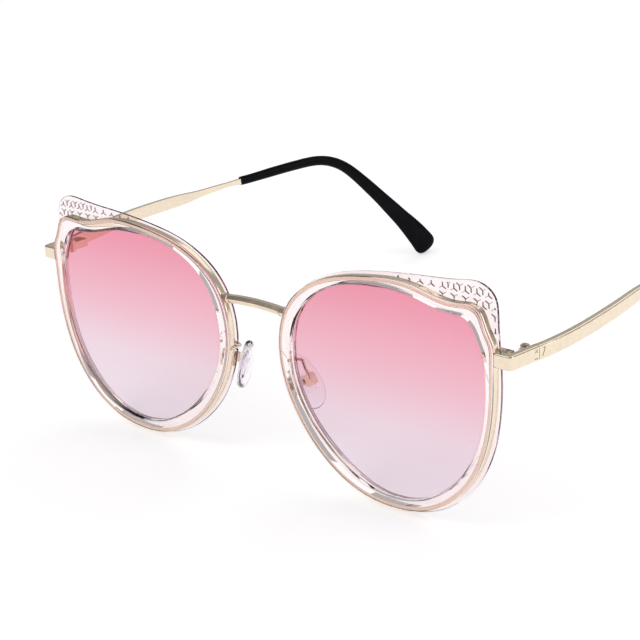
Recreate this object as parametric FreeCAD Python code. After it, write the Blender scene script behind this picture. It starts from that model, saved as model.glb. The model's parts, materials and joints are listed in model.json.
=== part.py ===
import FreeCAD, Part
import math
import os

# Cat eye sunglasses, in millimetres.
#
# The glasses are drawn with the front upright: X runs across the front, +X being the
# wearer's left, Y runs back from the front face of the rims towards the ears, and Z is up.
# The last step leans the whole pair back onto the two rims and the two temple tips, and
# puts the origin at the middle of its footprint. The left side is drawn and the right
# side is its mirror image.

Vector = FreeCAD.Vector

# Depths of the clear rim, from its front face to the back of the eared flange
LIP_BACK = 0.6
FLANGE_FRONT = 2.6
FLANGE_BACK = 3.2
GROOVE_DEPTH = 1.0
FIT_GAP = 0.05

# Lens
LENS_FRONT = 1.0
LENS_THICKNESS = 1.6
LENS_SEAT = 0.6

# Outlines of one eye as (x, z) points joined by smooth closed curves
EAR_OUTLINE = [
    (69.9, 18.0), (70.4, 9.0), (69.9, -1.0), (67.7, -10.4), (62.8, -19.1), (55.4, -25.7),
    (46.0, -29.3), (36.0, -29.3), (26.6, -26.2), (18.2, -20.2), (11.7, -11.9), (8.0, -2.0),
    (8.4, 8.6), (13.8, 17.3), (23.9, 22.9), (36.6, 25.6), (50.0, 26.9), (60.0, 27.8),
    (66.2, 27.8), (69.1, 25.5), (69.8, 22.0),
]
RIM_OUTLINE = [
    (69.9, 12.0), (69.6, 3.0), (68.0, -6.5), (64.6, -14.9), (58.9, -21.9), (51.0, -26.8),
    (41.4, -28.6), (31.4, -27.4), (22.1, -22.6), (14.7, -15.1), (9.8, -6.0), (8.3, 4.1),
    (11.0, 13.0), (17.5, 19.4), (27.3, 23.4), (37.0, 25.0), (44.5, 25.4), (50.5, 24.6),
    (56.0, 23.4), (60.0, 23.2), (63.7, 23.4), (66.2, 22.4), (67.5, 20.2), (68.5, 17.8),
    (69.6, 15.6),
]
LENS_OUTLINE = [
    (67.1, 9.0), (67.0, 2.0), (65.4, -6.7), (62.2, -13.7), (57.0, -19.7), (50.0, -24.2),
    (41.4, -26.0), (32.6, -24.4), (24.4, -19.7), (17.4, -12.9), (12.9, -4.5), (12.0, 4.0),
    (14.2, 11.6), (19.7, 17.5), (28.4, 21.4), (37.4, 22.7), (44.5, 22.6), (50.5, 21.5),
    (55.5, 20.4), (59.5, 20.1), (62.2, 19.8), (64.1, 18.2), (65.4, 15.6), (66.6, 12.6),
]
OFFSET_SAMPLES = 120

# Engraved triangle lattice of the ear
LATTICE_PITCH = 3.05
LATTICE_X = 58.3
LATTICE_Z = 25.55
ARM_LENGTH = 1.1
ARM_WIDTH = 0.24
ENGRAVING_DEPTH = 0.25

# Endpiece, hinge and temple
HINGE_Z = 12.45
BAR_HEIGHT = 3.3
BAR_THICKNESS = 1.6
BAR_INNER_X = 73.6
CORNER_X = 74.55
CORNER_FRONT_Y = 0.45
CORNER_RADIUS = 0.9
EDGE_RADIUS = 0.4
SPLIT_Y = 9.5
SPLIT_GAP = 0.1
HINGE_X = BAR_INNER_X - 1.3
HINGE_Y = 8.4
KNUCKLE_RADIUS = 1.1
KNUCKLE_GAP = 0.05
HINGE_HEIGHT = 3.0
HINGE_SCREW_RADIUS = 0.5
RUNNING_GAP = 0.03
LOCK_X = 71.2
LOCK_Y = 3.6

# Temple bar: distance back, distance out and height of its middle, its height and thickness
BAR_STATIONS = [
    (9.55, 74.4, 12.45, 3.3, 1.6), (14.0, 75.1, 12.6, 3.3, 1.6), (20.0, 75.7, 13.0, 3.3, 1.55),
    (26.0, 75.97, 13.48, 3.3, 1.5), (32.0, 75.95, 13.97, 3.3, 1.5), (38.0, 75.55, 14.3, 3.25, 1.5),
    (44.0, 74.9, 14.58, 3.2, 1.45), (49.0, 74.27, 14.77, 2.9, 1.4), (52.0, 73.88, 14.87, 2.5, 1.4),
    (55.0, 73.45, 15.07, 1.95, 1.35), (58.5, 72.75, 15.4, 1.55, 1.3), (62.0, 71.95, 15.73, 1.35, 1.25),
    (66.0, 71.05, 15.98, 1.25, 1.2), (71.0, 69.9, 16.25, 1.2, 1.15),
]
# Temple tip: distance back, distance out and height of its middle, its height and thickness
TIP_STATIONS = [
    (69.0, 70.36, 16.14, 2.45, 2.1), (79.0, 67.7, 16.85, 2.7, 2.15), (88.0, 65.4, 17.4, 2.75, 2.2),
    (95.5, 63.05, 17.2, 2.8, 2.3), (101.5, 61.05, 14.7, 3.0, 2.4), (106.5, 59.5, 10.4, 3.35, 2.5),
    (113.5, 57.15, 2.9, 4.0, 2.6), (120.0, 54.8, -4.6, 5.1, 2.7), (124.4, 53.2, -10.0, 6.4, 2.8),
    (126.9, 52.2, -13.6, 7.0, 2.8),
]
TIP_END_LENGTH = 2.8
TIP_SUBDIVISIONS = 3
CORE_STATIONS = 8
CORE_RADIUS = 0.5

# Nose pad: the screw's centre, the directions of the skin side and of the pad's upper end
PAD_CENTRE = Vector(12.4, 5.85, -5.6)
PAD_FACING = Vector(-0.86, 0.42, -0.29)
PAD_ALONG = Vector(-0.39, -0.155, 0.91)
PAD_HALF_LENGTH = 7.1
PAD_HALF_WIDTH = 3.7
PAD_DROP = 0.6
PAD_BACK = 2.0
PAD_THICKNESS = 2.1
PAD_SCREW_RADIUS = 0.42
ARM_RADIUS = 0.4
ARM_NOTCH_Z = -1.0

BRIDGE_Y = 1.5
BRIDGE_Z = 11.3
BRIDGE_RISE = 0.55


def outline_curve(points, y=0.0):
    """Smooth closed curve through (x, z) points in the plane at depth y."""
    curve = Part.BSplineCurve()
    curve.interpolate(Points=[Vector(x, y, z) for x, z in points], PeriodicFlag=True)
    return curve


def offset_edge(points, distance, y):
    """Closed edge that runs a distance outside an outline (inside it when negative)."""
    curve = outline_curve(points)
    first = curve.FirstParameter
    span = curve.LastParameter - first
    moved = []
    for index in range(OFFSET_SAMPLES):
        parameter = first + span * index / OFFSET_SAMPLES
        point = curve.value(parameter)
        along = curve.tangent(parameter)[0]
        moved.append((point.x - distance * along.z, point.z + distance * along.x))
    return outline_curve(moved, y).toShape()


def ring_solid(section):
    """Closed ring whose section is a list of (outline, offset, depth) corners."""
    edges = [offset_edge(outline, offset, y) for outline, offset, y in section]
    faces = []
    for index, edge in enumerate(edges):
        other = (index + 1) % len(edges)
        if section[index][0] is section[other][0]:
            faces.append(Part.makeRuledSurface(edge, edges[other]))
        else:
            wires = [Part.Wire([edge]), Part.Wire([edges[other]])]
            faces.append(Part.makeFace(wires, "Part::FaceMakerBullseye"))
    shell = Part.makeShell(faces)
    shell.sewShape()
    solid = Part.Solid(shell)
    if solid.Volume < 0:
        solid.reverse()
    return solid


def outline_plate(points, distance, y_front, y_back):
    """Flat plate between two depths with an offset outline as its edge."""
    face = Part.Face(Part.Wire([offset_edge(points, distance, y_front)]))
    return face.extrude(Vector(0, y_back - y_front, 0))


def box(x, y, z):
    """Box between pairs of limits."""
    return Part.makeBox(x[1] - x[0], y[1] - y[0], z[1] - z[0], Vector(x[0], y[0], z[0]))


def upright(radius, x, y, z_low, z_high):
    """Vertical cylinder."""
    return Part.makeCylinder(radius, z_high - z_low, Vector(x, y, z_low))


def screw_solid(radius, head_radius, head_height, x, y, z_tip, z_head):
    """Vertical slotted screw whose shank ends where its head starts."""
    screw = upright(radius, x, y, z_tip, z_head)
    screw = screw.fuse(upright(head_radius, x, y, z_head, z_head + head_height))
    slot_half = head_radius * 0.18
    slot = box(
        (x - slot_half, x + slot_half),
        (y - head_radius, y + head_radius),
        (z_head + head_height * 0.5, z_head + head_height + 1.0),
    )
    return screw.cut(slot)


def lattice_star(x, z, points_up):
    """Three-armed star, one arm pointing up or down, as a prism that cuts the flange."""
    start = 90.0 if points_up else -90.0
    half = ARM_WIDTH / 2.0
    notch = half / math.sin(math.radians(60.0))
    corners = []
    for arm in range(3):
        angle = math.radians(start + 120.0 * arm)
        along = Vector(math.cos(angle), 0, math.sin(angle))
        across = Vector(-math.sin(angle), 0, math.cos(angle))
        between = angle + math.radians(60.0)
        centre = Vector(x, FLANGE_FRONT - 0.02, z)
        corners.append(centre + along * ARM_LENGTH - across * half)
        corners.append(centre + along * ARM_LENGTH + across * half)
        corners.append(centre + Vector(math.cos(between), 0, math.sin(between)) * notch)
    face = Part.Face(Part.makePolygon(corners + [corners[0]]))
    return face.extrude(Vector(0, ENGRAVING_DEPTH + 0.02, 0))


def ear_lattice():
    """Stars at the middles of the triangles of a lattice that covers the ear."""
    outer = Part.Face(Part.Wire([offset_edge(EAR_OUTLINE, -0.9, 0)]))
    inner = Part.Face(Part.Wire([offset_edge(RIM_OUTLINE, 0.0, 0)]))
    field = outline_plate(EAR_OUTLINE, -0.6, FLANGE_FRONT - 0.1, FLANGE_BACK)
    row_height = LATTICE_PITCH * math.sqrt(3.0) / 2.0
    stars = []
    for row in range(-4, 2):
        for column in range(-6, 6):
            x = LATTICE_X + LATTICE_PITCH * (column + 0.5 * (row % 2))
            z = LATTICE_Z + row_height * row
            for points_up in (True, False):
                star_x = x if points_up else x + LATTICE_PITCH / 2.0
                star_z = z if points_up else z + row_height / 3.0
                spot = Vector(star_x, 0, star_z)
                if outer.isInside(spot, 0.01, True) and not inner.isInside(spot, 0.01, True):
                    stars.append(lattice_star(star_x, star_z, points_up).common(field))
    return Part.makeCompound(stars)


def clear_rim():
    """Clear moulding: raised ring, side groove for the eyewire, lens groove, eared flange."""
    section = [
        (RIM_OUTLINE, -0.2, 0.0), (RIM_OUTLINE, -0.06, 0.08), (RIM_OUTLINE, 0.0, 0.25),
        (RIM_OUTLINE, 0.0, LIP_BACK), (RIM_OUTLINE, -GROOVE_DEPTH, LIP_BACK),
        (RIM_OUTLINE, -GROOVE_DEPTH, FLANGE_FRONT),
        (EAR_OUTLINE, -0.12, FLANGE_FRONT), (EAR_OUTLINE, 0.0, FLANGE_FRONT + 0.15),
        (EAR_OUTLINE, 0.0, FLANGE_BACK - 0.15), (EAR_OUTLINE, -0.12, FLANGE_BACK),
        (LENS_OUTLINE, 0.8, FLANGE_BACK), (LENS_OUTLINE, 0.2, LENS_FRONT + LENS_THICKNESS + 0.15),
        (LENS_OUTLINE, 0.2, LENS_FRONT + LENS_THICKNESS),
        (LENS_OUTLINE, LENS_SEAT, LENS_FRONT + LENS_THICKNESS),
        (LENS_OUTLINE, LENS_SEAT, LENS_FRONT), (LENS_OUTLINE, 0.0, LENS_FRONT),
        (LENS_OUTLINE, 0.06, 0.5), (LENS_OUTLINE, 0.3, 0.15), (LENS_OUTLINE, 0.7, 0.0),
    ]
    rim = ring_solid(section)
    lock_notch = box(
        (68.85, 72.0), (FLANGE_FRONT - 0.02, 4.0), (HINGE_Z - 1.65, HINGE_Z + 1.65))
    arm_notch = box(
        (7.0, 8.85), (FLANGE_FRONT - 0.02, 4.0),
        (ARM_NOTCH_Z - ARM_RADIUS - 0.15, ARM_NOTCH_Z + ARM_RADIUS + 0.15))
    return rim.cut(lock_notch).cut(arm_notch).cut(ear_lattice())


def eyewire():
    """Metal wire in the rim's side groove, split behind the endpiece."""
    front = LIP_BACK + FIT_GAP
    back = FLANGE_FRONT - FIT_GAP
    inner = -GROOVE_DEPTH + FIT_GAP
    section = [
        (RIM_OUTLINE, inner, front), (RIM_OUTLINE, -0.12, front), (RIM_OUTLINE, 0.04, front + 0.14),
        (RIM_OUTLINE, 0.1, front + 0.4), (RIM_OUTLINE, 0.1, back - 0.4),
        (RIM_OUTLINE, 0.04, back - 0.14), (RIM_OUTLINE, -0.12, back), (RIM_OUTLINE, inner, back),
    ]
    split = box((68.0, 71.0), (0.0, 3.0), (HINGE_Z - 0.1, HINGE_Z + 0.1))
    return ring_solid(section).cut(split)


def lens():
    """Flat tinted lens with a bevelled edge that sits in the rim's groove."""
    reach = LENS_SEAT - FIT_GAP
    front = LENS_FRONT + FIT_GAP
    back = LENS_FRONT + LENS_THICKNESS - FIT_GAP
    plate = outline_plate(LENS_OUTLINE, reach, front, back)
    return plate


def eyewire_envelope():
    """Everything inside the outer face of the eyewire, used to trim what is soldered on."""
    return outline_plate(RIM_OUTLINE, 0.1, -1.0, FLANGE_FRONT + 1.0)


def bar_section(centre, outward, height, thickness):
    """Bar section with a flat back, rounded outer corners and a gently crowned outer face."""
    up = Vector(0, 0, 1)
    half = height / 2.0
    radius = min(0.4, height * 0.3)
    diagonal = radius * (1.0 - math.sqrt(0.5))

    def spot(out, rise):
        return centre + outward * (out - thickness / 2.0) + up * rise

    lower_end = spot(thickness - radius, -half)
    upper_end = spot(thickness - radius, half)
    lower_face = spot(thickness, radius - half)
    upper_face = spot(thickness, half - radius)
    edges = [
        Part.LineSegment(spot(0, -half), spot(0, half)),
        Part.LineSegment(spot(0, half), upper_end),
        Part.Arc(upper_end, spot(thickness - diagonal, half - diagonal), upper_face),
        Part.Arc(upper_face, spot(thickness + 0.04, 0), lower_face),
        Part.Arc(lower_face, spot(thickness - diagonal, diagonal - half), lower_end),
        Part.LineSegment(lower_end, spot(0, -half)),
    ]
    return Part.Wire([edge.toShape() for edge in edges])


def engraved_line(start, end):
    """Shallow straight mark in the outer face, between two (y, z) points beside the split."""
    outer = BAR_INNER_X + BAR_THICKNESS
    first = Vector(outer - 1.0, start[0], start[1])
    last = Vector(outer - 1.0, end[0], end[1])
    along = (last - first).normalize()
    across = Vector(0, -along.z, along.y) * 0.11
    corners = [first - across, last - across, last + across, first + across]
    face = Part.Face(Part.makePolygon(corners + [corners[0]]))
    return face.extrude(Vector(3.0, 0, 0))


def engraved_marks(lines, body):
    """Marks that go the same small depth into a body's outer face."""
    inner = body.copy()
    inner.translate(Vector(-0.18, 0, 0))
    marks = engraved_line(*lines[0])
    for line in lines[1:]:
        marks = marks.fuse(engraved_line(*line))
    return marks.cut(inner)


def endpiece():
    """Bar that leaves the eyewire sideways and turns back to the hinge."""
    back_y = CORNER_FRONT_Y + BAR_THICKNESS
    end_y = SPLIT_Y - SPLIT_GAP / 2.0
    slope = (BAR_INNER_X + BAR_THICKNESS - CORNER_X) / (end_y - CORNER_FRONT_Y)
    arc_x = CORNER_X - CORNER_RADIUS
    arc_y = CORNER_FRONT_Y + CORNER_RADIUS
    turn = CORNER_RADIUS * math.sqrt(0.5)
    side_start = Vector(CORNER_X + slope * CORNER_RADIUS, arc_y, 0)
    spots = [
        side_start, Vector(BAR_INNER_X + BAR_THICKNESS, end_y, 0), Vector(BAR_INNER_X, end_y, 0),
        Vector(CORNER_X - BAR_THICKNESS + 0.15, back_y, 0), Vector(68.5, back_y, 0),
        Vector(68.5, CORNER_FRONT_Y, 0), Vector(arc_x, CORNER_FRONT_Y, 0),
    ]
    edges = [Part.LineSegment(a, b).toShape() for a, b in zip(spots, spots[1:])]
    middle = Vector(arc_x + turn + slope * 0.3, arc_y - turn, 0)
    edges.append(Part.Arc(spots[-1], middle, side_start).toShape())
    plan = Part.Face(Part.Wire(edges))
    plan.translate(Vector(0, 0, HINGE_Z - BAR_HEIGHT / 2.0))
    bar = plan.extrude(Vector(0, 0, BAR_HEIGHT))
    rounded = []
    for edge in bar.Edges:
        middle = edge.CenterOfMass
        level = abs(edge.BoundBox.ZLength) < 1e-6
        front = abs(middle.y - CORNER_FRONT_Y) < 0.4
        if level and (front or middle.x > BAR_INNER_X + BAR_THICKNESS * 0.5 + 0.02):
            if abs(middle.y - end_y) > 0.01:
                rounded.append(edge)
    bar = bar.makeFillet(EDGE_RADIUS, rounded).cut(eyewire_envelope())
    z = HINGE_Z
    lines = [
        ((8.9, z + 1.0), (8.1, z + 0.35)), ((8.9, z + 0.35), (8.1, z + 1.0)),
        ((8.95, z - 1.0), (7.9, z - 1.0)),
    ]
    return bar.cut(engraved_marks(lines, bar))


def lock_half(z_low, z_high):
    """Half of the block that draws the two ends of the eyewire together."""
    block = box((68.95, 72.3), (FLANGE_FRONT - FIT_GAP, 4.65), (z_low, z_high))
    return block.cut(upright(0.5 + RUNNING_GAP, LOCK_X, LOCK_Y, z_low - 1.0, z_high + 1.0))


def rim_lock_upper():
    """Upper half, counterbored for the screw's head."""
    half = lock_half(HINGE_Z + 0.1, HINGE_Z + 1.5)
    return half.cut(upright(0.88, LOCK_X, LOCK_Y, HINGE_Z + 0.95, HINGE_Z + 3.0))


def rim_lock_lower():
    """Lower half, which the screw draws up."""
    return lock_half(HINGE_Z - 1.5, HINGE_Z - 0.1)


def rim_screw():
    """Screw that closes the eyewire around the clear rim."""
    return screw_solid(0.5, 0.8, 0.45, LOCK_X, LOCK_Y, HINGE_Z - 1.5, HINGE_Z + 0.97)


def knuckle(z_low, z_high):
    """One barrel of the hinge."""
    return upright(KNUCKLE_RADIUS, HINGE_X, HINGE_Y, z_low, z_high)


def hinge_levels():
    """Lower limit, two knuckle joints and upper limit of the three-barrel hinge."""
    low = HINGE_Z - HINGE_HEIGHT / 2.0
    step = HINGE_HEIGHT / 3.0
    return low, low + step, low + 2.0 * step, low + HINGE_HEIGHT


def hinge_bore():
    """Hole for the hinge screw through all three barrels."""
    low, _, _, high = hinge_levels()
    return upright(HINGE_SCREW_RADIUS + RUNNING_GAP, HINGE_X, HINGE_Y, low - 1.0, high + 1.0)


def front_hinge():
    """Leaf on the endpiece's inner face that carries the outer two barrels."""
    low, first, second, high = hinge_levels()
    half_gap = KNUCKLE_GAP / 2.0
    leaf_end = HINGE_Y - KNUCKLE_RADIUS - 0.1
    leaf = box((HINGE_X + 0.1, BAR_INNER_X + 0.4), (5.9, leaf_end), (low, high))
    for z_low, z_high in ((low, first - half_gap), (second + half_gap, high)):
        arm = box((HINGE_X, HINGE_X + KNUCKLE_RADIUS), (leaf_end - 0.1, HINGE_Y), (z_low, z_high))
        leaf = leaf.fuse(arm).fuse(knuckle(z_low, z_high))
    return leaf.cut(hinge_bore()).cut(endpiece()).removeSplitter()


def temple_hinge():
    """Leaf on the temple's inner face that carries the middle barrel."""
    low, first, second, high = hinge_levels()
    half_gap = KNUCKLE_GAP / 2.0
    leaf_start = HINGE_Y + KNUCKLE_RADIUS + 0.1
    leaf = box((HINGE_X + 0.1, BAR_INNER_X + 1.2), (leaf_start, 14.0), (low, second))
    z_low = first + half_gap
    z_high = second - half_gap
    arm = box((HINGE_X, HINGE_X + KNUCKLE_RADIUS), (HINGE_Y, leaf_start + 0.1), (z_low, z_high))
    hinge = leaf.fuse(arm).fuse(knuckle(z_low, z_high)).cut(hinge_bore())
    return hinge.cut(temple_rod()).removeSplitter()


def hinge_screw():
    """Screw that the temple turns on."""
    low, _, _, high = hinge_levels()
    return screw_solid(HINGE_SCREW_RADIUS, 0.8, 0.3, HINGE_X, HINGE_Y, low - 0.2, high)


def station_curve(stations):
    """Smooth curve through the middles of a row of stations, and those middles."""
    points = [Vector(x, y, z) for y, x, z, _, _ in stations]
    curve = Part.BSplineCurve()
    curve.interpolate(Points=points)
    return curve, points


def temple_rod():
    """The temple's bar, from the hinge to where it enters the tip."""
    curve, points = station_curve(BAR_STATIONS)
    sections = []
    for point, (_, _, _, height, thickness) in zip(points, BAR_STATIONS):
        along = curve.tangent(curve.parameter(point))[0]
        outward = Vector(along.y, -along.x, 0).normalize()
        if point is points[0]:
            outward = Vector(1, 0, 0)
        sections.append(bar_section(point, outward, height, thickness))
    return Part.makeLoft(sections, True, False)


def ellipse_wire(centre, along, height, thickness):
    """Ellipse square to a direction, upright across its height."""
    side = along.cross(Vector(0, 0, 1)).normalize()
    rise = side.cross(along).normalize()
    if height >= thickness:
        shape = Part.Ellipse(centre + rise * (height / 2.0), centre + side * (thickness / 2.0), centre)
    else:
        shape = Part.Ellipse(centre + side * (thickness / 2.0), centre + rise * (height / 2.0), centre)
    return Part.Wire([shape.toShape()])


def core_wires(radius, start_y):
    """Round sections of the wire inside the tip, up to the start of the paddle."""
    curve, points = station_curve(TIP_STATIONS)
    wires = []
    for point in points[:CORE_STATIONS]:
        parameter = curve.parameter(point)
        along = curve.tangent(parameter)[0]
        wires.append(Part.Wire([Part.Circle(point, along, radius).toShape()]))
    if start_y is not None:
        first = wires[0].copy()
        first.translate(curve.tangent(curve.FirstParameter)[0] * start_y)
        wires.insert(0, first)
    return wires


def temple_bar():
    """Bar and core wire, one piece of metal."""
    core = Part.makeLoft(core_wires(CORE_RADIUS, -1.0), True, False)
    z = HINGE_Z
    lines = [((10.2, z + 1.0), (11.2, z + 1.0)), ((11.2, z + 1.0), (10.4, z - 0.9))]
    rod = temple_rod()
    return rod.fuse(core).cut(engraved_marks(lines, rod))


def tip_sections():
    """Closely spaced sections of the sleeve from its start to the start of its rounded end."""
    curve, points = station_curve(TIP_STATIONS)
    places = [curve.parameter(point) for point in points]
    sections = []
    for index in range(len(places) - 1):
        here, following = TIP_STATIONS[index], TIP_STATIONS[index + 1]
        for step in range(TIP_SUBDIVISIONS):
            share = step / TIP_SUBDIVISIONS
            place = places[index] + (places[index + 1] - places[index]) * share
            height = here[3] + (following[3] - here[3]) * share
            thickness = here[4] + (following[4] - here[4]) * share
            along = curve.tangent(place)[0]
            sections.append(ellipse_wire(curve.value(place), along, height, thickness))
    return sections


def temple_tip():
    """Sleeve over the core wire: slim to the bend, then widening into a rounded paddle."""
    curve, points = station_curve(TIP_STATIONS)
    sections = tip_sections()
    end = points[-1]
    along = curve.tangent(curve.LastParameter)[0]
    end_height, end_thickness = TIP_STATIONS[-1][3:]
    for share in (0.0, 0.45, 0.75, 0.92, 0.99):
        shrink = (1.0 - share ** 2.6) ** (1.0 / 2.6)
        centre = end + along * (TIP_END_LENGTH * share)
        sections.append(ellipse_wire(centre, along, end_height * shrink, end_thickness * shrink))
    sleeve = Part.makeLoft(sections, True, False)
    hole = Part.makeLoft(core_wires(CORE_RADIUS + FIT_GAP, -1.0), True, False)
    return sleeve.cut(hole).cut(temple_rod())


def pad_frame():
    """Placement whose X runs along the pad, Y across it and Z towards the skin."""
    facing = Vector(PAD_FACING).normalize()
    along = (PAD_ALONG - facing * PAD_ALONG.dot(facing)).normalize()
    across = facing.cross(along)
    rotation = FreeCAD.Rotation(along, across, facing, "ZXY")
    return FreeCAD.Placement(PAD_CENTRE, rotation)


def placed(shape):
    """Shape drawn about the pad's screw, moved to its place."""
    moved = shape.copy()
    moved.Placement = pad_frame().multiply(moved.Placement)
    return moved


def pad_wire(scale, inset, level):
    """Egg-shaped outline of the pad, wider at its lower end."""
    points = []
    for index in range(12):
        angle = 2.0 * math.pi * index / 12
        width = PAD_HALF_WIDTH * scale - inset
        length = PAD_HALF_LENGTH * scale - inset
        egg = 1.0 - 0.16 * math.cos(angle)
        points.append(Vector(length * math.cos(angle) - PAD_DROP, width * egg * math.sin(angle), level))
    curve = Part.BSplineCurve()
    curve.interpolate(Points=points, PeriodicFlag=True)
    return Part.Wire([curve.toShape()])


def pad_core():
    """Stiff insert: a plate inside the pad and a stem that the screw passes through."""
    plate = Part.makeBox(5.0, 3.2, 0.6, Vector(-3.5, -1.6, PAD_BACK + 0.7))
    stem = Part.makeBox(1.5, 1.9, PAD_BACK + 1.7, Vector(-0.75, -0.95, -0.75))
    hole = Part.makeCylinder(PAD_SCREW_RADIUS + RUNNING_GAP, 4.0, Vector(0, -2.0, 0), Vector(0, 1, 0))
    return plate.fuse(stem).cut(hole).removeSplitter()


def nose_pad():
    """Clear soft pad with a flat skin side and a rounded edge."""
    top = PAD_BACK + PAD_THICKNESS
    wires = [
        pad_wire(1.0, 1.3, PAD_BACK), pad_wire(1.0, 0.4, PAD_BACK + 0.35),
        pad_wire(1.0, 0.0, PAD_BACK + 0.95), pad_wire(1.0, 0.1, top - 0.6),
        pad_wire(1.0, 0.45, top - 0.2), pad_wire(1.0, 1.0, top),
    ]
    return placed(Part.makeLoft(wires, True, True).cut(pad_core()))


def pad_insert():
    """The pad's stiff insert in its place."""
    return placed(pad_core())


def pad_block():
    """Outer block of the pad box."""
    block = Part.makeBox(2.9, 2.9, 2.4, Vector(-1.45, -1.45, -1.35))
    uprights = [edge for edge in block.Edges if edge.BoundBox.ZLength > 1.0]
    return block.makeFillet(0.5, uprights)


def pad_box():
    """Channel-shaped box that holds the pad's stem between two cheeks."""
    slot = Part.makeBox(4.0, 2.1, 4.0, Vector(-2.0, -1.05, -0.95))
    hole = Part.makeCylinder(PAD_SCREW_RADIUS + RUNNING_GAP, 5.0, Vector(0, -2.5, 0), Vector(0, 1, 0))
    return placed(pad_block().cut(slot).cut(hole))


def pad_screw():
    """Cross screw that the pad rocks on."""
    forward = Vector(0, 1, 0)
    shank = Part.makeCylinder(PAD_SCREW_RADIUS, 3.1, Vector(0, -1.45, 0), forward)
    head = Part.makeCylinder(0.7, 0.35, Vector(0, -1.8, 0), forward)
    slot = Part.makeBox(0.25, 0.35, 2.0, Vector(-0.125, -1.98, -1.0))
    return placed(shank.fuse(head).cut(slot))


def bent_wire(points, radius, bend):
    """Round wire along straight runs joined by tangent arcs."""
    edges = []
    start = points[0]
    for index in range(1, len(points) - 1):
        corner = points[index]
        before = (points[index - 1] - corner).normalize()
        after = (points[index + 1] - corner).normalize()
        half_angle = before.getAngle(after) / 2.0
        reach = bend / math.tan(half_angle)
        bisector = (before + after).normalize()
        middle = corner + bisector * (bend / math.sin(half_angle) - bend)
        arc_start = corner + before * reach
        arc_end = corner + after * reach
        edges.append(Part.LineSegment(start, arc_start).toShape())
        edges.append(Part.Arc(arc_start, middle, arc_end).toShape())
        start = arc_end
    edges.append(Part.LineSegment(start, points[-1]).toShape())
    path = Part.Wire(edges)
    direction = (points[1] - points[0]).normalize()
    profile = Part.Wire([Part.Circle(points[0], direction, radius).toShape()])
    return path.makePipeShell([profile], True, True)


def pad_arm():
    """Wire from the side of the eyewire, back through the flange's notch to the pad box."""
    frame = pad_frame()
    route = [
        Vector(8.3, 0.9, ARM_NOTCH_Z), Vector(8.3, 4.2, ARM_NOTCH_Z), Vector(11.1, 5.3, -0.9),
        frame.multVec(Vector(2.6, 0, -1.1)), frame.multVec(Vector(0.2, 0, -1.1)),
    ]
    wire = bent_wire(route, ARM_RADIUS, 0.7)
    return wire.cut(eyewire_envelope()).cut(placed(pad_block()))


def bridge():
    """Ridged bar between the eyewires, arched a little, with a collar at each end."""
    sections = []
    half_span = 12.5
    collar_start = 9.6
    for step in range(-6, 7):
        share = step / 6.0
        x = half_span * share
        rise = BRIDGE_RISE * (1.0 - min(abs(x) / collar_start, 1.0) ** 2)
        sections.append(bridge_section(x, BRIDGE_Z + rise, 1.0))
    bar = Part.makeLoft(sections, True, True)
    for side in (-1.0, 1.0):
        collar = [bridge_section(side * x, BRIDGE_Z, size) for x, size in ((8.2, 1.0), (8.7, 1.14), (12.5, 1.14))]
        bar = bar.fuse(Part.makeLoft(collar, True, True))
    envelope = eyewire_envelope()
    return bar.cut(envelope).cut(mirrored(envelope)).removeSplitter()


def bridge_section(x, z, scale):
    """Six-sided section with a ridge at the front."""
    corners = []
    for y_share, z_share in ((-0.9, 0.1), (-0.45, 0.95), (0.7, 0.95), (0.9, 0.3), (0.7, -0.95), (-0.45, -0.95)):
        corners.append(Vector(x, BRIDGE_Y + y_share * scale, z + z_share * scale))
    return Part.makePolygon(corners + [corners[0]])


def mirrored(shape):
    """Mirror image across the middle plane."""
    return shape.mirror(Vector(0, 0, 0), Vector(1, 0, 0))


SIDE_PARTS = [
    ("clear_rim", clear_rim), ("eyewire", eyewire), ("lens", lens), ("endpiece", endpiece),
    ("rim_lock_upper", rim_lock_upper), ("rim_lock_lower", rim_lock_lower),
    ("rim_screw", rim_screw), ("front_hinge", front_hinge), ("hinge_screw", hinge_screw),
    ("pad_arm", pad_arm), ("pad_box", pad_box), ("pad_screw", pad_screw),
    ("nose_pad", nose_pad), ("pad_insert", pad_insert), ("temple_bar", temple_bar),
    ("temple_hinge", temple_hinge), ("temple_tip", temple_tip),
]


def build_upright():
    """All pieces, with the front upright."""
    shapes = {"bridge": bridge()}
    for name, make in SIDE_PARTS:
        shape = make()
        shapes["left_" + name] = shape
        shapes["right_" + name] = mirrored(shape)
    return shapes


def standing_placement(shapes):
    """Lean back until rims and tips touch the table, with the origin under the middle."""
    rim_box = shapes["left_clear_rim"].optimalBoundingBox(False)
    tip_box = shapes["left_temple_tip"].optimalBoundingBox(False)
    rim_y = FLANGE_BACK
    tip_y = TIP_STATIONS[-1][0]
    lean = math.degrees(math.atan2(tip_box.ZMin - rim_box.ZMin, tip_y - rim_y))
    rotation = FreeCAD.Rotation(Vector(1, 0, 0), -lean)
    turned = FreeCAD.Placement(Vector(0, 0, 0), rotation)
    whole = Part.makeCompound([shape.copy() for shape in shapes.values()])
    whole.Placement = turned
    limits = whole.optimalBoundingBox(False)
    move = Vector(0, -(limits.YMin + limits.YMax) / 2.0, -limits.ZMin)
    return FreeCAD.Placement(move, rotation)


def main():
    """Write one STEP file for each piece."""
    os.makedirs("parts", exist_ok=True)
    shapes = build_upright()
    placement = standing_placement(shapes)
    for name, shape in shapes.items():
        standing = shape.copy()
        standing.Placement = placement.multiply(standing.Placement)
        standing.exportStep("parts/" + name + ".step")


main()
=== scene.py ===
"""Looks of the cat eye sunglasses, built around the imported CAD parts.

Shapes are drawn as in the CAD: in millimetres, with the front upright, +X to the wearer's
left, +Y back and +Z up. UPRIGHT_TO_ROW then leans them back and sets them on the floor.
"""

import json
import math

import bmesh
import bpy
import numpy as np
from mathutils import Matrix, Vector


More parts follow.
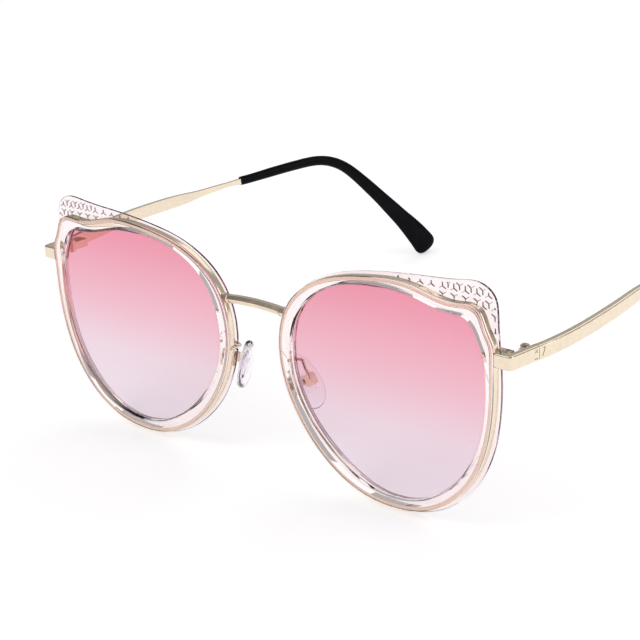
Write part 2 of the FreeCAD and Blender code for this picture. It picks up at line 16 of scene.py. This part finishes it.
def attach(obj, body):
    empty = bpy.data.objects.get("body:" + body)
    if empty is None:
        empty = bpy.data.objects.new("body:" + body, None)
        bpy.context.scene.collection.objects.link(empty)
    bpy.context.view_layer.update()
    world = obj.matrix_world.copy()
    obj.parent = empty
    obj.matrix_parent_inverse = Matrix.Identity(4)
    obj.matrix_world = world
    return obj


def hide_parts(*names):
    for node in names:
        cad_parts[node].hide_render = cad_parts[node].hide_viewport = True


MM = 0.001
SIDES = (("left", 1.0), ("right", -1.0))

# Outlines of one eye, as in the CAD
EAR_OUTLINE = [
    (69.9, 18.0), (70.4, 9.0), (69.9, -1.0), (67.7, -10.4), (62.8, -19.1), (55.4, -25.7),
    (46.0, -29.3), (36.0, -29.3), (26.6, -26.2), (18.2, -20.2), (11.7, -11.9), (8.0, -2.0),
    (8.4, 8.6), (13.8, 17.3), (23.9, 22.9), (36.6, 25.6), (50.0, 26.9), (60.0, 27.8),
    (66.2, 27.8), (69.1, 25.5), (69.8, 22.0),
]
RIM_OUTLINE = [
    (69.9, 12.0), (69.6, 3.0), (68.0, -6.5), (64.6, -14.9), (58.9, -21.9), (51.0, -26.8),
    (41.4, -28.6), (31.4, -27.4), (22.1, -22.6), (14.7, -15.1), (9.8, -6.0), (8.3, 4.1),
    (11.0, 13.0), (17.5, 19.4), (27.3, 23.4), (37.0, 25.0), (44.5, 25.4), (50.5, 24.6),
    (56.0, 23.4), (60.0, 23.2), (63.7, 23.4), (66.2, 22.4), (67.5, 20.2), (68.5, 17.8),
    (69.6, 15.6),
]
LENS_OUTLINE = [
    (67.1, 9.0), (67.0, 2.0), (65.4, -6.7), (62.2, -13.7), (57.0, -19.7), (50.0, -24.2),
    (41.4, -26.0), (32.6, -24.4), (24.4, -19.7), (17.4, -12.9), (12.9, -4.5), (12.0, 4.0),
    (14.2, 11.6), (19.7, 17.5), (28.4, 21.4), (37.4, 22.7), (44.5, 22.6), (50.5, 21.5),
    (55.5, 20.4), (59.5, 20.1), (62.2, 19.8), (64.1, 18.2), (65.4, 15.6), (66.6, 12.6),
]
LOOP_SAMPLES = 480
FINE_STEPS = 60
PAD_SAMPLES = 96

LIP_BACK = 0.6
FLANGE_FRONT = 2.6
FLANGE_BACK = 3.2
GROOVE_DEPTH = 1.0
FIT_GAP = 0.05
LENS_FRONT = 1.0
LENS_THICKNESS = 1.6
LENS_SEAT = 0.6

# Engraved lattice of the ear
LATTICE_PITCH = 3.05
LATTICE_X = 58.3
LATTICE_Z = 25.55
ARM_LENGTH = 1.05
ARM_WIDTH = 0.24
ARM_TAPER = 0.7
SHORTEST_ARM = 0.3
ARM_SHORTENING = 0.1
MARK_LIFT = 0.02
MARK_DEPTH = 0.3
EAR_MARGIN = 0.75
WIRE_MARGIN = 0.05

# The hinge in the upright drawing
HINGE = Vector((72.3, 8.4, 12.45))

# Notches in the flange's edge: x of the notch's floor, middle height, half height
LOCK_NOTCH = (68.85, 12.45, 1.65)
ARM_NOTCH = (8.9, -1.0, 0.55)
EYE_MIDDLE_X = 40.0

# Nose pad, as in the CAD
PAD_CENTRE = Vector((12.4, 5.85, -5.6))
PAD_FACING = Vector((-0.86, 0.42, -0.29)).normalized()
PAD_ALONG = Vector((-0.39, -0.155, 0.91))
PAD_HALF_LENGTH = 7.1
PAD_HALF_WIDTH = 3.7
PAD_DROP = 0.6
PAD_EGG = 0.16
PAD_BACK = 2.0
PAD_BACK_ROUND = (0.95, 1.3)
PAD_SKIN_START = 1.1
PAD_SKIN_ROUND = (1.0, 1.0)
PAD_ROUND_STEPS = 8
# Bands of the pad's upright edge, tinted grey-mauve as painted shade of its outline
PAD_SHADED_EDGE_BANDS = range(4, 13)

# The camera in the upright drawing
CAMERA_AZIMUTH = 43.04
CAMERA_ELEVATION = 18.84
CAMERA_ROLL = -3.06
CAMERA_DISTANCE = 415.0
CAMERA_TARGET = Vector((21.9, 0.0, 12.3))
CAMERA_LENS = 104.2
CAMERA_SENSOR = 36.0

# Floor and light in the row frame: metres and watts
FLOOR_SIZE = 8.0
FLOOR_GLOW = 0.50
SURROUND_STRENGTH = 0.42
LAMP_SIZE = 0.6
LAMP_TARGET = Vector((0, 0, 0.03))
LAMPS = (
    ("key", (-0.35, -0.5, 0.75), 1.3),
    ("side", (0.75, 0.15, 0.35), 1.5),
    ("back", (-0.1, 0.7, 0.6), 0.9),
)


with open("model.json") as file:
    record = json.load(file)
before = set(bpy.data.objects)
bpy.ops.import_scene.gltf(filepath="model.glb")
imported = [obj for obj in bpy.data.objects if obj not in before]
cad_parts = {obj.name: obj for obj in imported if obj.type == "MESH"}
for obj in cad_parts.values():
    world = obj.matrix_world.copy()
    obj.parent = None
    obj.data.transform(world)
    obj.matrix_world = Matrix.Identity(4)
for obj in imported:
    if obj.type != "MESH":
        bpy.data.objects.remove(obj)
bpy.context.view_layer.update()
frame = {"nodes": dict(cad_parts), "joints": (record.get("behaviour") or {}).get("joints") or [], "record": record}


def upright_to_row():
    """Matrix from the upright drawing in millimetres to the row frame in metres."""
    fold = next(j for j in frame["joints"] if j["name"] == "left_temple_fold")
    _, lean_y, lean_z = fold["axis"]
    turn = Matrix.Rotation(-math.atan2(lean_y, lean_z), 4, "X")
    move = Vector(fold["pos_m"]) - turn @ (HINGE * MM)
    return Matrix.Translation(move) @ turn @ Matrix.Scale(MM, 4)


UPRIGHT_TO_ROW = upright_to_row()


# Outlines

def periodic_spline(points, count):
    """Evenly spaced points and outward normals of the smooth closed curve through points."""
    p = np.array(points, float)
    n = len(p)
    step = np.linalg.norm(np.roll(p, -1, 0) - p, axis=1)
    a = np.zeros((n, n))
    b = np.zeros((n, 2))
    slope = (np.roll(p, -1, 0) - p) / step[:, None]
    for i in range(n):
        before = step[i - 1]
        after = step[i]
        a[i, (i - 1) % n] += before
        a[i, i] += 2.0 * (before + after)
        a[i, (i + 1) % n] += after
        b[i] = 6.0 * (slope[i] - slope[i - 1])
    bend = np.linalg.solve(a, b)
    fine = []
    for i in range(n):
        j = (i + 1) % n
        h = step[i]
        t = np.linspace(0.0, h, FINE_STEPS, endpoint=False)[:, None]
        s = h - t
        value = (bend[i] * s ** 3 + bend[j] * t ** 3) / (6.0 * h)
        value += (p[i] / h - bend[i] * h / 6.0) * s + (p[j] / h - bend[j] * h / 6.0) * t
        fine.append(value)
    fine = np.vstack(fine)
    closed = np.vstack([fine, fine[:1]])
    along = np.concatenate([[0.0], np.cumsum(np.linalg.norm(np.diff(closed, axis=0), axis=1))])
    wanted = np.linspace(0.0, along[-1], count, endpoint=False)
    even = np.column_stack([np.interp(wanted, along, closed[:, k]) for k in (0, 1)])
    tangent = np.roll(even, -1, 0) - np.roll(even, 1, 0)
    tangent /= np.linalg.norm(tangent, axis=1)[:, None]
    normal = np.column_stack([-tangent[:, 1], tangent[:, 0]])
    return even, normal


LOOPS = {
    "ear": periodic_spline(EAR_OUTLINE, LOOP_SAMPLES),
    "rim": periodic_spline(RIM_OUTLINE, LOOP_SAMPLES),
    "lens": periodic_spline(LENS_OUTLINE, LOOP_SAMPLES),
}


def loop_points(name, distance, y):
    """Loop a distance outside an outline, as 3-D points at depth y."""
    even, normal = LOOPS[name]
    moved = even + normal * distance
    if name == "ear":
        near_lock = np.abs(moved[:, 1] - LOCK_NOTCH[1]) < LOCK_NOTCH[2]
        near_arm = np.abs(moved[:, 1] - ARM_NOTCH[1]) < ARM_NOTCH[2]
        outside = moved[:, 0] > EYE_MIDDLE_X
        moved[near_lock & outside, 0] = LOCK_NOTCH[0]
        moved[near_arm & ~outside, 0] = ARM_NOTCH[0]
    return [Vector((x, y, z)) for x, z in moved]


# Mesh helpers

def finish_mesh(name, bm, side, body, slot, *materials, smooth_angle=35.0):
    """Turns a bmesh in the upright drawing into a piece that rides on a body."""
    matrix = UPRIGHT_TO_ROW @ Matrix.Scale(side, 4, (1, 0, 0))
    bmesh.ops.transform(bm, matrix=matrix, verts=bm.verts)
    bmesh.ops.recalc_face_normals(bm, faces=bm.faces)
    limit = math.radians(smooth_angle)
    for face in bm.faces:
        face.smooth = True
    for edge in bm.edges:
        edge.smooth = len(edge.link_faces) == 2 and edge.calc_face_angle(0.0) < limit
    mesh = bpy.data.meshes.new(name)
    bm.to_mesh(mesh)
    bm.free()
    piece = bpy.data.objects.new(name, mesh)
    bpy.context.scene.collection.objects.link(piece)
    for material in materials:
        mesh.materials.append(material)
    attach(piece, body)
    return piece


def ring_mesh(stations, edge_after=None):
    """Closed ring through (outline, offset, depth) stations.

    The band after the station edge_after gets the second material.
    """
    bm = bmesh.new()
    loops = [[bm.verts.new(p) for p in loop_points(*s)] for s in stations]
    for i, loop in enumerate(loops):
        other = loops[(i + 1) % len(loops)]
        for k in range(LOOP_SAMPLES):
            m = (k + 1) % LOOP_SAMPLES
            face = bm.faces.new((loop[k], loop[m], other[m], other[k]))
            face.material_index = 1 if i == edge_after else 0
    return bm


# Materials

def new_material(name):
    """New node material with its node tree and its shader."""
    material = bpy.data.materials.new(name)
    material.use_nodes = True
    tree = material.node_tree
    shader = tree.nodes["Principled BSDF"]
    return material, tree, shader


def object_noise(tree, scale, detail=3.0):
    """Noise in the piece's own coordinates."""
    coords = tree.nodes.new("ShaderNodeTexCoord")
    noise = tree.nodes.new("ShaderNodeTexNoise")
    noise.inputs["Scale"].default_value = scale
    noise.inputs["Detail"].default_value = detail
    tree.links.new(coords.outputs["Object"], noise.inputs["Vector"])
    return noise.outputs["Fac"]


def ramp(tree, factor, stops):
    """Colour ramp through (position, colour) stops."""
    node = tree.nodes.new("ShaderNodeValToRGB")
    elements = node.color_ramp.elements
    while len(elements) < len(stops):
        elements.new(0.5)
    for element, (position, colour) in zip(elements, stops):
        element.position = position
        element.color = (*colour, 1.0)
    tree.links.new(factor, node.inputs["Fac"])
    return node.outputs["Color"]


def number_range(tree, factor, low, high):
    """Factor of 0 to 1 spread between two numbers."""
    node = tree.nodes.new("ShaderNodeMapRange")
    node.inputs["To Min"].default_value = low
    node.inputs["To Max"].default_value = high
    tree.links.new(factor, node.inputs["Value"])
    return node.outputs["Result"]


def gold_material():
    """Polished champagne plating with a faint brushed variation."""
    material, tree, shader = new_material("champagne_gold")
    noise = object_noise(tree, 900.0)
    colour = ramp(tree, noise, [(0.3, (0.83, 0.70, 0.54)), (0.7, (0.88, 0.76, 0.60))])
    tree.links.new(colour, shader.inputs["Base Color"])
    tree.links.new(number_range(tree, noise, 0.14, 0.24), shader.inputs["Roughness"])
    shader.inputs["Metallic"].default_value = 1.0
    return material


def steel_material():
    """Gold-toned screw metal, a little darker than the plating."""
    material, tree, shader = new_material("screw_metal")
    noise = object_noise(tree, 2500.0)
    colour = ramp(tree, noise, [(0.3, (0.62, 0.52, 0.42)), (0.7, (0.74, 0.64, 0.52))])
    tree.links.new(colour, shader.inputs["Base Color"])
    tree.links.new(number_range(tree, noise, 0.22, 0.36), shader.inputs["Roughness"])
    shader.inputs["Metallic"].default_value = 1.0
    return material


def clear_material(name, low, high, ior, roughness=0.03):
    """Clear polished plastic with a faint uneven tint."""
    material, tree, shader = new_material(name)
    noise = object_noise(tree, 120.0)
    tree.links.new(ramp(tree, noise, [(0.3, low), (0.7, high)]), shader.inputs["Base Color"])
    shader.inputs["Transmission Weight"].default_value = 1.0
    shader.inputs["Roughness"].default_value = roughness
    shader.inputs["IOR"].default_value = ior
    return material


def lens_material():
    """Pink lens tint that fades towards the bottom of the lens."""
    material, tree, shader = new_material("lens_tint")
    coords = tree.nodes.new("ShaderNodeTexCoord")
    split = tree.nodes.new("ShaderNodeSeparateXYZ")
    tree.links.new(coords.outputs["Generated"], split.inputs["Vector"])
    colour = ramp(tree, split.outputs["Z"], [
        (0.0, (0.81, 0.72, 0.79)), (0.15, (0.81, 0.70, 0.77)), (0.35, (0.82, 0.655, 0.73)),
        (0.57, (0.839, 0.50, 0.59)), (0.75, (0.83, 0.41, 0.50)), (0.90, (0.82, 0.335, 0.425)),
        (1.0, (0.815, 0.30, 0.39)),
    ])
    tree.links.new(colour, shader.inputs["Base Color"])
    shader.inputs["Transmission Weight"].default_value = 1.0
    shader.inputs["Roughness"].default_value = 0.02
    shader.inputs["IOR"].default_value = 1.2
    return material


def black_material():
    """Polished black plastic."""
    material, tree, shader = new_material("black_tip")
    noise = object_noise(tree, 300.0)
    colour = ramp(tree, noise, [(0.3, (0.003, 0.003, 0.004)), (0.7, (0.006, 0.006, 0.008))])
    tree.links.new(colour, shader.inputs["Base Color"])
    tree.links.new(number_range(tree, noise, 0.16, 0.22), shader.inputs["Roughness"])
    shader.inputs["Specular IOR Level"].default_value = 0.05
    return material


def mark_material(name, low, high):
    """Mauve plastic of the lattice strokes: the dark copy is painted shade of the engraved grooves, the pale copy
    the same grooves painted lit.
    """
    material, tree, shader = new_material(name)
    noise = object_noise(tree, 800.0)
    tree.links.new(ramp(tree, noise, [(0.3, low), (0.7, high)]), shader.inputs["Base Color"])
    shader.inputs["Roughness"].default_value = 0.35
    return material


# The insert is inside the silicone, so only its step in index shows
PLASTIC_IOR = 1.49
SILICONE_IOR = 1.3
SILICONE_EDGE_IOR = 1.41
INSERT_IOR = 1.06

GOLD = gold_material()
STEEL = steel_material()
CLEAR = clear_material("clear_plastic", (0.965, 0.865, 0.87), (0.985, 0.90, 0.90), PLASTIC_IOR)
# Painted shade: a dark rose tint on the outer wall of the ear flange, for the dark line along the clear plate's
# edge
CLEAR_EDGE_SHADE = clear_material("clear_plastic_edge_shade", (0.55, 0.33, 0.38), (0.62, 0.40, 0.45),
                            PLASTIC_IOR)
LENS = lens_material()
BLACK = black_material()
SILICONE = clear_material("clear_silicone", (0.955, 0.945, 0.965), (0.98, 0.97, 0.985),
                          SILICONE_IOR, 0.06)
# Painted shade: a grey-mauve tint on the pad's upright edge, for the dark outline a clear pad shows
SILICONE_EDGE_SHADE = clear_material("silicone_edge_shade", (0.74, 0.66, 0.73), (0.80, 0.72, 0.78),
                               SILICONE_EDGE_IOR, 0.1)
INSERT = clear_material("clear_insert", (0.93, 0.91, 0.93), (0.97, 0.95, 0.97), INSERT_IOR)
# Lattice strokes in two copies of one mauve: dark as painted shade of the groove walls, pale as painted light
MARK_PAINTED_SHADE = mark_material("lattice_painted_shade", (0.22, 0.14, 0.17), (0.33, 0.22, 0.26))
MARK_PAINTED_LIGHT = mark_material("lattice_painted_light", (0.80, 0.72, 0.74), (0.88, 0.80, 0.82))

SLOT_MATERIALS = {
    "gold_metal": GOLD, "screw_steel": STEEL, "clear_plastic": CLEAR, "lens_tint": LENS,
    "black_acetate": BLACK, "clear_silicone": SILICONE, "clear_insert": INSERT,
}


# Pieces

def clear_rim(name, side):
    """Clear moulding of one eye."""
    stations = [
        ("rim", -0.2, 0.0), ("rim", -0.06, 0.08), ("rim", 0.0, 0.25),
        ("rim", 0.0, LIP_BACK), ("rim", -GROOVE_DEPTH, LIP_BACK),
        ("rim", -GROOVE_DEPTH, FLANGE_FRONT),
        ("ear", -0.12, FLANGE_FRONT), ("ear", 0.0, FLANGE_FRONT + 0.15),
        ("ear", 0.0, FLANGE_BACK - 0.15), ("ear", -0.12, FLANGE_BACK),
        ("lens", 0.8, FLANGE_BACK), ("lens", 0.2, LENS_FRONT + LENS_THICKNESS + 0.15),
        ("lens", 0.2, LENS_FRONT + LENS_THICKNESS),
        ("lens", LENS_SEAT, LENS_FRONT + LENS_THICKNESS),
        ("lens", LENS_SEAT, LENS_FRONT), ("lens", 0.0, LENS_FRONT),
        ("lens", 0.06, 0.5), ("lens", 0.3, 0.15), ("lens", 0.7, 0.0),
    ]
    # The band on the flange's outer wall takes the painted-shade edge tint
    shaded_edge_band = stations.index(("ear", 0.0, FLANGE_FRONT + 0.15))
    piece = finish_mesh(name + "_rim_moulding", ring_mesh(stations, shaded_edge_band), side, "front",
                        "clear_plastic", CLEAR, CLEAR_EDGE_SHADE)
    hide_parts(name + "_clear_rim")


def eyewire(name, side):
    """Metal wire in the rim's side groove."""
    front = LIP_BACK + FIT_GAP
    back = FLANGE_FRONT - FIT_GAP
    inner = -GROOVE_DEPTH + FIT_GAP
    stations = [
        ("rim", inner, front), ("rim", -0.12, front), ("rim", -0.02, front + 0.05),
        ("rim", 0.06, front + 0.18), ("rim", 0.1, front + 0.4), ("rim", 0.1, back - 0.4),
        ("rim", 0.06, back - 0.18), ("rim", -0.02, back - 0.05), ("rim", -0.12, back),
        ("rim", inner, back),
    ]
    piece = finish_mesh(name + "_rim_wire", ring_mesh(stations), side, "front",
                        "gold_metal", GOLD)
    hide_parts(name + "_eyewire")


def lens(name, side):
    """Tinted plate with its edge in the rim's groove."""
    reach = LENS_SEAT - FIT_GAP
    bm = bmesh.new()
    front = [bm.verts.new(p) for p in loop_points("lens", reach, LENS_FRONT + FIT_GAP)]
    back = [bm.verts.new(p) for p in
            loop_points("lens", reach, LENS_FRONT + LENS_THICKNESS - FIT_GAP)]
    bm.faces.new(front)
    bm.faces.new(back[::-1])
    for k in range(LOOP_SAMPLES):
        m = (k + 1) % LOOP_SAMPLES
        bm.faces.new((front[k], back[k], back[m], front[m]))
    piece = finish_mesh(name + "_lens_plate", bm, side, "front", "lens_tint", LENS)
    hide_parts(name + "_lens")


def pad_sections():
    """Levels through the pad with their insets: rounded back, upright edge, rounded skin side."""
    sections = []
    height, inset = PAD_BACK_ROUND
    for step in range(PAD_ROUND_STEPS + 1):
        share = 1.0 - step / PAD_ROUND_STEPS
        sections.append((height - height * share, inset * (1.0 - math.sqrt(1.0 - share * share))))
    height, inset = PAD_SKIN_ROUND
    for step in range(PAD_ROUND_STEPS + 1):
        share = step / PAD_ROUND_STEPS
        level = PAD_SKIN_START + height * share
        sections.append((level, inset * (1.0 - math.sqrt(1.0 - share * share))))
    return sections


def nose_pad(name, side):
    """Soft pad: an egg-shaped plate with rounded edges, wider at its lower end."""
    across = PAD_FACING.cross(PAD_ALONG).normalized()
    along = across.cross(PAD_FACING)
    bm = bmesh.new()
    loops = []
    for level, inset in pad_sections():
        loop = []
        for k in range(PAD_SAMPLES):
            angle = 2.0 * math.pi * k / PAD_SAMPLES
            length = (PAD_HALF_LENGTH - inset) * math.cos(angle) - PAD_DROP
            egg = 1.0 - PAD_EGG * math.cos(angle)
            width = (PAD_HALF_WIDTH - inset) * egg * math.sin(angle)
            spot = PAD_CENTRE + along * length + across * width
            loop.append(bm.verts.new(spot + PAD_FACING * (PAD_BACK + level)))
        loops.append(loop)
    for i, (loop, other) in enumerate(zip(loops, loops[1:])):
        for k in range(PAD_SAMPLES):
            m = (k + 1) % PAD_SAMPLES
            face = bm.faces.new((loop[k], loop[m], other[m], other[k]))
            # The edge bands get the painted-shade tint
            face.material_index = 1 if i in PAD_SHADED_EDGE_BANDS else 0
    bm.faces.new(loops[0][::-1])
    bm.faces.new(loops[-1])
    piece = finish_mesh(name + "_soft_pad", bm, side, name + "_nose_pad", "clear_silicone",
                        SILICONE, SILICONE_EDGE_SHADE)
    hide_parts(name + "_nose_pad")


def inside(point, loop):
    """True if a 2-D point is inside a closed loop."""
    x, z = point
    a = loop
    b = np.roll(loop, -1, 0)
    crosses = (a[:, 1] > z) != (b[:, 1] > z)
    with np.errstate(divide="ignore", invalid="ignore"):
        at = a[:, 0] + (z - a[:, 1]) * (b[:, 0] - a[:, 0]) / (b[:, 1] - a[:, 1])
    return bool(np.sum(crosses & (x < at)) % 2)


def lattice(name, side):
    """Engraved strokes of the ear: three-armed marks on a triangle lattice, each arm dark (painted shade) or pale
    (painted light) by its direction.
    """
    ear, ear_normal = LOOPS["ear"]
    rim, rim_normal = LOOPS["rim"]
    outer = ear - ear_normal * EAR_MARGIN
    inner = rim + rim_normal * WIRE_MARGIN
    row_height = LATTICE_PITCH * math.sqrt(3.0) / 2.0
    strokes = {"dark": bmesh.new(), "pale": bmesh.new()}
    for row in range(-4, 2):
        for column in range(-6, 6):
            x = LATTICE_X + LATTICE_PITCH * (column + 0.5 * (row % 2))
            z = LATTICE_Z + row_height * row
            for start, centre in ((90.0, (x, z)),
                                  (-90.0, (x + LATTICE_PITCH / 2.0, z + row_height / 3.0))):
                if not inside(centre, outer) or inside(centre, inner):
                    continue
                for arm in range(3):
                    angle = start + 120.0 * arm
                    # Painted light: arms along the 30-degree line take the pale, lit copy, the other arms the dark
                    # copy as painted groove shade
                    tone = "pale" if round(angle) % 180 == 30 else "dark"
                    add_stroke(strokes[tone], centre, math.radians(angle), outer, inner)
    for tone, material in (("dark", MARK_PAINTED_SHADE), ("pale", MARK_PAINTED_LIGHT)):
        finish_mesh(f"{name}_ear_marks_{tone}", strokes[tone], side, "front",
                    "clear_plastic", material)


def add_stroke(bm, centre, angle, outer, inner):
    """One tapered wedge-shaped stroke, shortened where it would leave the ear's field."""
    along = Vector((math.cos(angle), 0, math.sin(angle)))
    across = Vector((-math.sin(angle), 0, math.cos(angle)))
    length = ARM_LENGTH
    origin = Vector((centre[0], FLANGE_FRONT, centre[1]))
    while length > SHORTEST_ARM:
        end = origin + along * length
        if inside((end.x, end.z), outer) and not inside((end.x, end.z), inner):
            break
        length -= ARM_SHORTENING
    half = ARM_WIDTH / 2.0
    far = origin + along * length
    top = [origin - across * half, far - across * half * ARM_TAPER,
           far + across * half * ARM_TAPER, origin + across * half]
    lift = Vector((0, -MARK_LIFT, 0))
    sink = Vector((0, MARK_DEPTH, 0))
    upper = [bm.verts.new(p + lift) for p in top]
    lower = [bm.verts.new(p + sink) for p in top]
    bm.faces.new(upper)
    bm.faces.new(lower[::-1])
    for k in range(4):
        m = (k + 1) % 4
        bm.faces.new((upper[k], lower[k], lower[m], upper[m]))


for side_name, side_sign in SIDES:
    clear_rim(side_name, side_sign)
    eyewire(side_name, side_sign)
    lens(side_name, side_sign)
    lattice(side_name, side_sign)
    nose_pad(side_name, side_sign)

slots = {s["node"]: s["material_slot"] for s in frame["record"]["subparts"]}
for node_name, node in frame["nodes"].items():
    node.data.materials.clear()
    node.data.materials.append(SLOT_MATERIALS[slots[node_name]])


# Floor, light and camera

def add_floor():
    """Pale floor that glows a little, so that it reads as white."""
    bpy.ops.mesh.primitive_plane_add(size=FLOOR_SIZE)
    floor = bpy.context.object
    floor.name = "floor"
    material, tree, shader = new_material("floor_white")
    noise = object_noise(tree, 3.0)
    colour = ramp(tree, noise, [(0.3, (0.93, 0.93, 0.94)), (0.7, (0.95, 0.95, 0.96))])
    tree.links.new(colour, shader.inputs["Base Color"])
    shader.inputs["Roughness"].default_value = 0.9
    shader.inputs["Specular IOR Level"].default_value = 0.1
    shader.inputs["Emission Color"].default_value = (1.0, 1.0, 1.0, 1.0)
    shader.inputs["Emission Strength"].default_value = FLOOR_GLOW
    floor.data.materials.append(material)


def add_surround():
    """White surround, grey near the horizon on the camera's side."""
    world = bpy.data.worlds.new("studio")
    bpy.context.scene.world = world
    world.use_nodes = True
    tree = world.node_tree
    background = tree.nodes["Background"]
    coords = tree.nodes.new("ShaderNodeTexCoord")
    split = tree.nodes.new("ShaderNodeSeparateXYZ")
    tree.links.new(coords.outputs["Generated"], split.inputs["Vector"])
    tone = ramp(tree, number_range(tree, split.outputs["Z"], 0.0, 1.0), [
        (0.0, (0.60, 0.60, 0.62)), (0.40, (0.42, 0.41, 0.41)), (0.70, (0.9, 0.9, 0.9)),
        (1.0, (1.0, 1.0, 1.0)),
    ])
    away = tree.nodes.new("ShaderNodeMapRange")
    away.inputs["From Min"].default_value = -0.2
    away.inputs["From Max"].default_value = 0.3
    tree.links.new(split.outputs["Y"], away.inputs["Value"])
    blend = tree.nodes.new("ShaderNodeMixRGB")
    blend.inputs["Color2"].default_value = (1.0, 1.0, 1.0, 1.0)
    tree.links.new(away.outputs["Result"], blend.inputs["Fac"])
    tree.links.new(tone, blend.inputs["Color1"])
    tree.links.new(blend.outputs["Color"], background.inputs["Color"])
    background.inputs["Strength"].default_value = SURROUND_STRENGTH


def add_lamps():
    """Three soft area lights that point at the glasses."""
    for name, place, power in LAMPS:
        light = bpy.data.lights.new(name, "AREA")
        light.energy = power
        light.size = LAMP_SIZE
        lamp = bpy.data.objects.new(name, light)
        lamp.location = place
        towards = LAMP_TARGET - lamp.location
        lamp.rotation_euler = towards.to_track_quat("-Z", "Y").to_euler()
        bpy.context.scene.collection.objects.link(lamp)


def add_camera():
    """Camera at the viewing angle, set in the upright drawing."""
    azimuth = math.radians(CAMERA_AZIMUTH)
    elevation = math.radians(CAMERA_ELEVATION)
    roll = math.radians(CAMERA_ROLL)
    back = Vector((math.sin(azimuth) * math.cos(elevation),
                   -math.cos(azimuth) * math.cos(elevation), math.sin(elevation)))
    right = Vector((math.cos(azimuth), math.sin(azimuth), 0.0))
    up = back.cross(right)
    rolled_right = right * math.cos(roll) + up * math.sin(roll)
    rolled_up = up * math.cos(roll) - right * math.sin(roll)
    place = CAMERA_TARGET + back * CAMERA_DISTANCE
    axes = Matrix((rolled_right, rolled_up, back)).transposed().to_4x4()
    data = bpy.data.cameras.new("camera")
    data.sensor_width = CAMERA_SENSOR
    data.lens = CAMERA_LENS
    data.clip_start = 0.01
    data.clip_end = 20.0
    eye = bpy.data.objects.new("camera", data)
    turned = UPRIGHT_TO_ROW @ Matrix.Translation(place) @ axes
    location, rotation, _ = turned.decompose()
    eye.matrix_world = Matrix.Translation(location) @ rotation.to_matrix().to_4x4()
    bpy.context.scene.collection.objects.link(eye)
    bpy.context.scene.camera = eye


add_floor()
add_surround()
add_lamps()
add_camera()
bpy.context.scene.view_settings.view_transform = "Standard"
